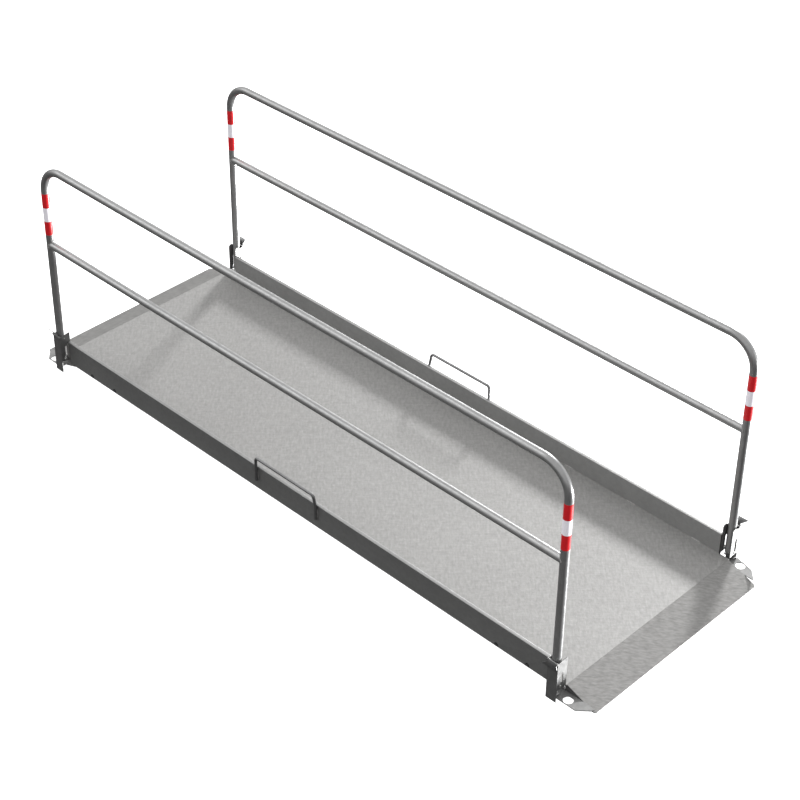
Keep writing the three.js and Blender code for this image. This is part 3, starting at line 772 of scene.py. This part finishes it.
def pivot_ring(materials, side, end):
    node = f"pivot_ring_{side}_{end}"
    low, high, middle = span(node)
    outer = (high.z - low.z) / 2
    inner = RING_BORE_RADIUS
    half = (high.x - low.x) / 2
    edge = RING_CHAMFER
    profile = [
        (inner, -half), (outer - edge, -half), (outer, edge - half), (outer, half - edge),
        (outer - edge, half), (inner, half), (inner, -half),
    ]
    bm = bmesh.new()
    revolve(bm, profile, middle, Vector((1, 0, 0)), 48)
    bmesh.ops.remove_doubles(bm, verts=bm.verts, dist=mm(0.001))
    made = add_object(f"push_ring_{side}_{end}", bm)
    smooth(made, 40)
    dress(made, f"{side}_pivot_pins", materials["fastener"], "plated_fastener", node)


# ---- Handrails ----


def hoop(materials, side):
    """One tube bent twice, with each foot cut round about its pivot."""
    node = f"rail_hoop_{side}"
    low, high, middle = span(node)
    left = low.x + TUBE_RADIUS
    right = high.x - TUBE_RADIUS
    top = high.z - TUBE_RADIUS
    corners = [
        Vector((left, middle.y, PIVOT_Z)),
        Vector((left, middle.y, top)),
        Vector((right, middle.y, top)),
        Vector((right, middle.y, PIVOT_Z)),
    ]

    def round_foot(place):
        reach = TUBE_RADIUS**2 - (place.y - middle.y) ** 2
        return Vector((place.x, place.y, PIVOT_Z - math.sqrt(max(reach, 0))))

    made = hollow_tube(f"bent_tube_{side}", bent_path(corners, BEND_RADIUS, BEND_STEPS), round_foot)
    for x in (left, right):
        outline = round_outline((middle.y, PIVOT_Z), PIN_HOLE_RADIUS)
        carve(made, bar("cutter", outline, 0, x - mm(20), x + mm(20)))
    smooth(made, 40)
    dress(made, f"{side}_handrail", materials["tube"], "galvanised_tube", node)


def mid_rail(materials, side):
    """A straight tube whose ends are hollowed to the round of the posts."""
    node = f"mid_rail_{side}"
    _, _, middle = span(node)
    hoop_low, hoop_high, _ = span(f"rail_hoop_{side}")
    left = hoop_low.x + TUBE_RADIUS
    right = hoop_high.x - TUBE_RADIUS
    post = TUBE_RADIUS + FIT_GAP

    def cope(place):
        depth = math.sqrt(max(post**2 - (place.y - middle.y) ** 2, 0))
        x = left + depth if place.x < 0 else right - depth
        return Vector((x, place.y, place.z))

    steps = 12
    points = [Vector((left + (right - left) * k / steps, middle.y, middle.z)) for k in range(steps + 1)]
    made = hollow_tube(f"straight_tube_{side}", points, cope)
    smooth(made, 40)
    dress(made, f"{side}_handrail", materials["tube"], "galvanised_tube", node)


def film_band(materials, side, end, name):
    """A strip of film round the post, with its end lapped over its start."""
    node = f"band_{side}_{end}_{name}"
    low, high, middle = span(node)
    inner = TUBE_RADIUS + FILM_LIFT
    edge = mm(0.15)
    bm = bmesh.new()
    columns = []
    for k in range(FILM_SIDES):
        share = k / FILM_SIDES
        outer = inner + FILM_THICKNESS + (FILM_OVERLAP if share < FILM_OVERLAP_SHARE else 0)
        turn = 2 * math.pi * share + SIDES[side] * math.pi / 2
        arm = Vector((math.cos(turn), math.sin(turn), 0))
        profile = [
            (inner, low.z), (outer - edge, low.z), (outer, low.z + edge),
            (outer, high.z - edge), (outer - edge, high.z), (inner, high.z),
        ]
        base = Vector((middle.x, middle.y, 0))
        columns.append([bm.verts.new(base + arm * r + Vector((0, 0, z))) for r, z in profile])
    for here, there in zip(columns, columns[1:] + columns[:1]):
        for k in range(len(here)):
            m = (k + 1) % len(here)
            bm.faces.new([here[k], here[m], there[m], there[k]])
    made = add_object(f"film_{side}_{end}_{name}", bm)
    smooth(made, 40)
    colour = "white" if name == "middle" else "red"
    dress(made, f"{side}_handrail", materials[colour], f"{colour}_reflective_band", node)


def handle(materials, side):
    """A bent rod with round ends."""
    sign = SIDES[side]
    foot_x, foot_y, foot_z = HANDLE_FOOT
    top_x, top_y, top_z = HANDLE_TOP

    def spot(x, y, z):
        return Vector((HANDLE_CENTRE_X + x, sign * y, z))

    corners = [
        spot(-foot_x, foot_y, foot_z),
        spot(-foot_x, foot_y, HANDLE_KINK_Z),
        spot(-top_x, top_y, top_z),
        spot(top_x, top_y, top_z),
        spot(foot_x, foot_y, HANDLE_KINK_Z),
        spot(foot_x, foot_y, foot_z),
    ]
    points = bent_path(corners, HANDLE_CORNER_RADIUS, HANDLE_BEND_STEPS)
    bm = bmesh.new()
    rings = sweep(bm, points, [HANDLE_RADIUS] * len(points), HANDLE_SIDES)
    bm.faces.new(rings[0])
    bm.faces.new(rings[-1])
    made = add_object(f"handle_rod_{side}", bm)
    round_edges(made, mm(0.8))
    smooth(made, 40)
    dress(made, "walkway", materials["rod"], "galvanised_tube", f"carry_handle_{side}")


# ---- Welds, rivets and inserts ----


def rail_welds(materials, side):
    """A bead round each end of the mid rail."""
    _, _, rail = span(f"mid_rail_{side}")
    hoop_low, hoop_high, _ = span(f"rail_hoop_{side}")
    bm = bmesh.new()
    for x, inward in ((hoop_low.x + TUBE_RADIUS, 1), (hoop_high.x - TUBE_RADIUS, -1)):
        loop = []
        for k in range(RAIL_WELD_SIDES):
            turn = 2 * math.pi * k / RAIL_WELD_SIDES
            y = TUBE_RADIUS * math.cos(turn)
            depth = math.sqrt(max(TUBE_RADIUS**2 - y**2, 0))
            loop.append(Vector((x + inward * depth, rail.y + y, rail.z + TUBE_RADIUS * math.sin(turn))))
        weld_bead(bm, loop, mm(1.9), looped=True)
    made = add_object(f"rail_welds_{side}", bm)
    smooth(made, 60)
    dress(made, f"{side}_handrail", materials["weld"], "galvanised_tube")


def handle_welds(materials, side):
    """Two beads down each foot of the handle."""
    sign = SIDES[side]
    bm = bmesh.new()
    for foot in (-1, 1):
        for flank in (-1, 1):
            x = HANDLE_CENTRE_X + foot * HANDLE_FOOT[0] + flank * HANDLE_WELD_SPREAD
            y = sign * HANDLE_WELD_Y
            weld_bead(bm, [Vector((x, y, z)) for z in HANDLE_WELD_RUN], mm(1.7))
    made = add_object(f"handle_welds_{side}", bm)
    smooth(made, 60)
    dress(made, "walkway", materials["weld"], "galvanised_tube")


def deck_welds(materials):
    """Short stitches where the deck meets the beams, and a bead where each beam meets its brackets."""
    low, high, _ = span("deck_plate")
    bm = bmesh.new()
    for sign in SIDES.values():
        y = sign * (high.y - STITCH_INSET)
        for k in range(STITCH_COUNT):
            x = low.x + (high.x - low.x) * (k + 0.5) / STITCH_COUNT
            stitch = [Vector((x + way * STITCH_HALF_LENGTH, y, high.z)) for way in (-1, 1)]
            weld_bead(bm, stitch, mm(1.9))
        for end in ENDS.values():
            x = end * BRACKET_WELD_X
            y_out = sign * BRACKET_WELD_Y
            weld_bead(bm, [Vector((x, y_out, z)) for z in BRACKET_WELD_RUN], mm(2.1))
    made = add_object("walkway_welds", bm)
    smooth(made, 60)
    dress(made, "walkway", materials["weld"], "galvanised_plate")


def cheek_rivets(materials):
    """A small domed rivet near the top of each inboard cheek."""
    bm = bmesh.new()
    for side, end in CORNERS:
        low, high, _ = span(f"post_bracket_{side}_{end}")
        face_x = low.x if ENDS[end] > 0 else high.x
        inboard = Vector((-ENDS[end], 0, 0))
        place = Vector((face_x, SIDES[side] * RIVET_PLACE[0], RIVET_PLACE[1]))
        profile = [(0, -mm(0.4)), (mm(3), -mm(0.4)), (mm(3), mm(0.3)), (mm(2.2), mm(1.1)), (0, mm(1.4))]
        revolve(bm, profile, place, inboard, 28)
    made = add_object("cheek_rivets", bm)
    smooth(made, 40)
    dress(made, "walkway", materials["fastener"], "plated_fastener")


def hole_shade_liners(materials):
    """A near-black liner in each bolt hole of the beams, painted shade for the dark inside of the hole: a
    flange outside and a sleeve inside.
    """
    bore = SHADE_LINER_BORE_RADIUS
    sleeve = SHADE_LINER_SLEEVE_RADIUS
    flange = SHADE_LINER_FLANGE_RADIUS
    depth = SHADE_LINER_DEPTH
    top = SHADE_LINER_FLANGE_THICKNESS
    edge = SHADE_LINER_CHAMFER
    profile = [
        (bore, -depth), (sleeve, -depth), (sleeve, 0), (flange, 0), (flange, top - edge),
        (flange - edge, top), (bore + edge, top), (bore, top - edge), (bore, -depth),
    ]
    bm = bmesh.new()
    for side, sign in SIDES.items():
        low, high, _ = span(f"side_beam_{side}")
        face_y = high.y if sign > 0 else low.y
        for x in BEAM_HOLES_NEAR:
            revolve(bm, profile, Vector((-sign * x, face_y, BEAM_HOLE_Z)), Vector((0, sign, 0)), 36)
    bmesh.ops.remove_doubles(bm, verts=bm.verts, dist=mm(0.001))
    made = add_object("hole_shade_liners", bm)
    smooth(made, 40)
    dress(made, "walkway", materials["hole_shade"], "plated_fastener")


# ---- Stage ----


def direction(azimuth, elevation):
    """From the object towards a viewer or a light. Azimuth 0 is the -Y side, and 90 the +X side."""
    a = math.radians(azimuth)
    e = math.radians(elevation)
    return Vector((math.sin(a) * math.cos(e), -math.cos(a) * math.cos(e), math.sin(e)))


def make_camera():
    data = bpy.data.cameras.new("camera")
    data.lens = CAMERA_LENS
    data.sensor_width = CAMERA_SENSOR
    data.shift_x, data.shift_y = CAMERA_SHIFT
    data.clip_end = 100
    camera = bpy.data.objects.new("camera", data)
    camera.location = CAMERA_PLACE
    camera.rotation_mode = "QUATERNION"
    back = direction(CAMERA_AZIMUTH, CAMERA_ELEVATION)
    camera.rotation_quaternion = (-back).to_track_quat("-Z", "Y")
    bpy.context.scene.collection.objects.link(camera)
    bpy.context.scene.camera = camera


def distant_light(name, azimuth, elevation, spread, strength):
    """Even light from one direction. spread is the width of its source in degrees, for soft shadows."""
    data = bpy.data.lights.new(name, "SUN")
    data.energy = strength
    data.angle = math.radians(spread)
    lamp = bpy.data.objects.new(name, data)
    towards = direction(azimuth, elevation)
    lamp.location = towards * LIGHT_DISTANCE
    lamp.rotation_mode = "QUATERNION"
    lamp.rotation_quaternion = (-towards).to_track_quat("-Z", "Y")
    bpy.context.scene.collection.objects.link(lamp)


def make_world():
    """Dim below the horizon and brighter above it, so that downward faces stay dark."""
    world = bpy.data.worlds.new("studio")
    world.use_nodes = True
    bpy.context.scene.world = world
    tree = world.node_tree
    source = tree.nodes.new("ShaderNodeTexCoord")
    parts = tree.nodes.new("ShaderNodeSeparateXYZ")
    tree.links.new(source.outputs["Generated"], parts.inputs["Vector"])
    level = spread_between(tree, parts.outputs["Z"], SKY_BELOW, SKY_ABOVE, *SKY_EDGE)
    tree.links.new(level, tree.nodes["Background"].inputs["Strength"])
    tree.nodes["Background"].inputs["Color"].default_value = (1, 1, 1, 1)


def make_floor():
    """A plain pale floor that the object doesn't see, so that it stays evenly bright."""
    half = FLOOR_HALF
    data = bpy.data.meshes.new("floor")
    corners = [(-half, -half, 0), (half, -half, 0), (half, half, 0), (-half, half, 0)]
    data.from_pydata(corners, [], [(0, 1, 2, 3)])
    floor = bpy.data.objects.new("floor", data)
    floor.location.z = -FLOOR_DROP
    material, _, shader = new_material("floor_finish", 0.0, 0.0)
    shader.inputs["Base Color"].default_value = (0.85, 0.85, 0.85, 1)
    shader.inputs["Roughness"].default_value = 1.0
    shader.inputs["Emission Color"].default_value = (1, 1, 1, 1)
    shader.inputs["Emission Strength"].default_value = 1.0
    data.materials.append(material)
    floor.visible_diffuse = False
    floor.visible_glossy = False
    floor.visible_shadow = False
    bpy.context.scene.collection.objects.link(floor)


def make_stage():
    bpy.context.scene.view_settings.view_transform = "Standard"
    make_camera()
    make_world()
    make_floor()
    distant_light("key", *KEY_LIGHT)
    distant_light("side", *SIDE_LIGHT)
    distant_light("fill", *FILL_LIGHT)


def build():
    materials = make_materials()
    deck_sheet(materials)
    for end in ENDS:
        ramp_sheet(materials, end)
        cross_member(materials, f"end_member_{end}")
    for number in range(1, RIB_COUNT + 1):
        cross_member(materials, f"cross_rib_{number}")
    for side in SIDES:
        beam(materials, side)
        handle(materials, side)
        hoop(materials, side)
        mid_rail(materials, side)
        rail_welds(materials, side)
        handle_welds(materials, side)
    for side, end in CORNERS:
        ramp_skirt(materials, side, end)
        bracket(materials, side, end)
        anchor(materials, side, end)
        latch(materials, side, end)
        latch_pin(materials, side, end)
        pivot_pin(materials, side, end)
        pivot_ring(materials, side, end)
        for name in BAND_NAMES:
            film_band(materials, side, end, name)
    deck_welds(materials)
    cheek_rivets(materials)
    hole_shade_liners(materials)


make_stage()
build()
